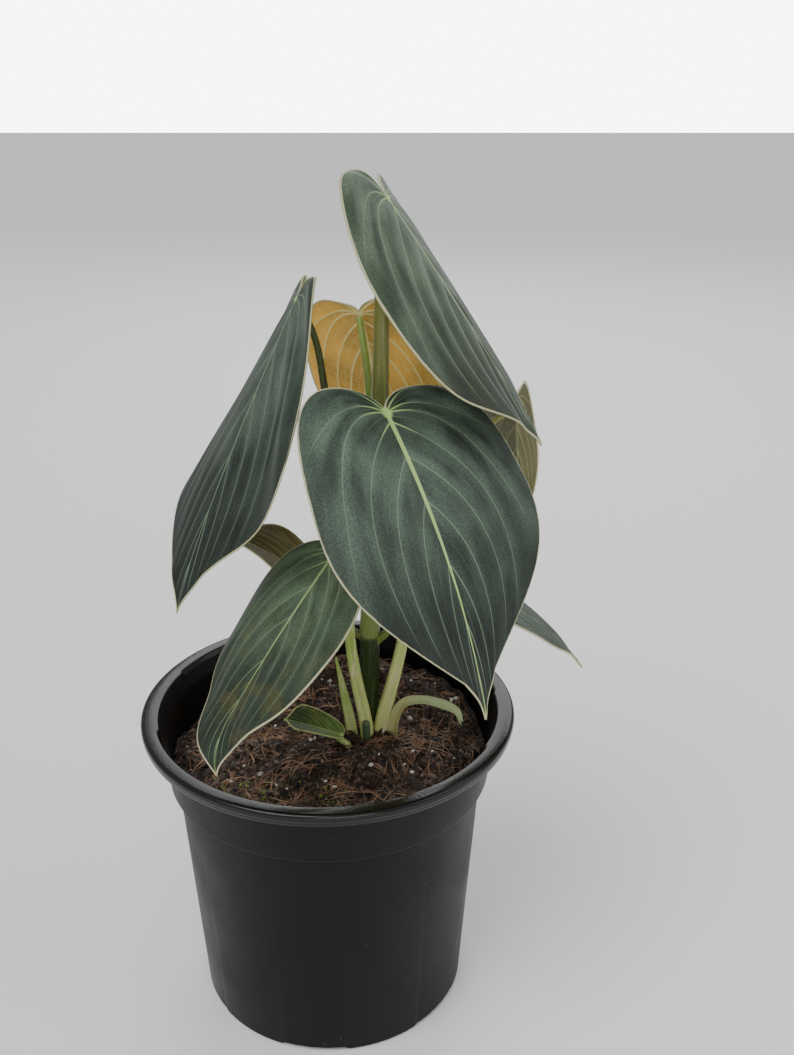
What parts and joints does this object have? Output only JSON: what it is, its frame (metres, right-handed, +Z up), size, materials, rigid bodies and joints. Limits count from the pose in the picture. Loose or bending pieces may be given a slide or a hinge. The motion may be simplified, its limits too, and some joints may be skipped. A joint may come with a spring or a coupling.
{
  "type": "potted plant",
  "caption": "Potted philodendron with heart-shaped velvety leaves on arching stalks, standing in a round tapered black nursery pot filled with potting mix.",
  "frame": {"origin": "middle of the pot's base, on the surface that it stands on", "axes": "+Z up, the plant's height; -Y is the front, the side that faces the viewer in the picture; +X is the viewer's right"},
  "size_m": [0.1773, 0.1528, 0.3419],
  "materials": {
    "pot_plastic": "satin black injection-moulded plastic",
    "potting_mix": "moist peat and coir with perlite",
    "stem": "green living stem, pale at its foot",
    "stalk": "smooth green leaf stalk",
    "sheath": "pale green sheath",
    "withered": "withered, mossy sheath",
    "leaf_velvet": "velvety dark blue-green with pale veins",
    "leaf_bronze": "olive bronze underside with pale veins",
    "leaf_golden": "golden translucent underside",
    "leaf_cut": "green cut leaf"
  },
  "bodies": {
    "root": {"pot": "pot_plastic", "potting_mix": "potting_mix", "main_stem": "stem", "stalk_top": "stalk", "stalk_left": "stalk", "stalk_golden": "stalk", "stalk_right_rear": "stalk", "stalk_low_right": "stalk", "stalk_young": "stalk", "stalk_front": "stalk", "stalk_low_left": "stalk", "stalk_stub": "stalk", "crown_sheath": "sheath", "withered_sheath": "withered", "blade_front": "leaf_velvet", "blade_low_left": "leaf_velvet", "blade_left": "leaf_velvet", "blade_top": "leaf_velvet", "blade_golden": "leaf_golden", "blade_right_rear": "leaf_bronze", "blade_low_right": "leaf_velvet", "blade_young": "leaf_bronze", "blade_stub": "leaf_cut"}
  },
  "joints": []
}
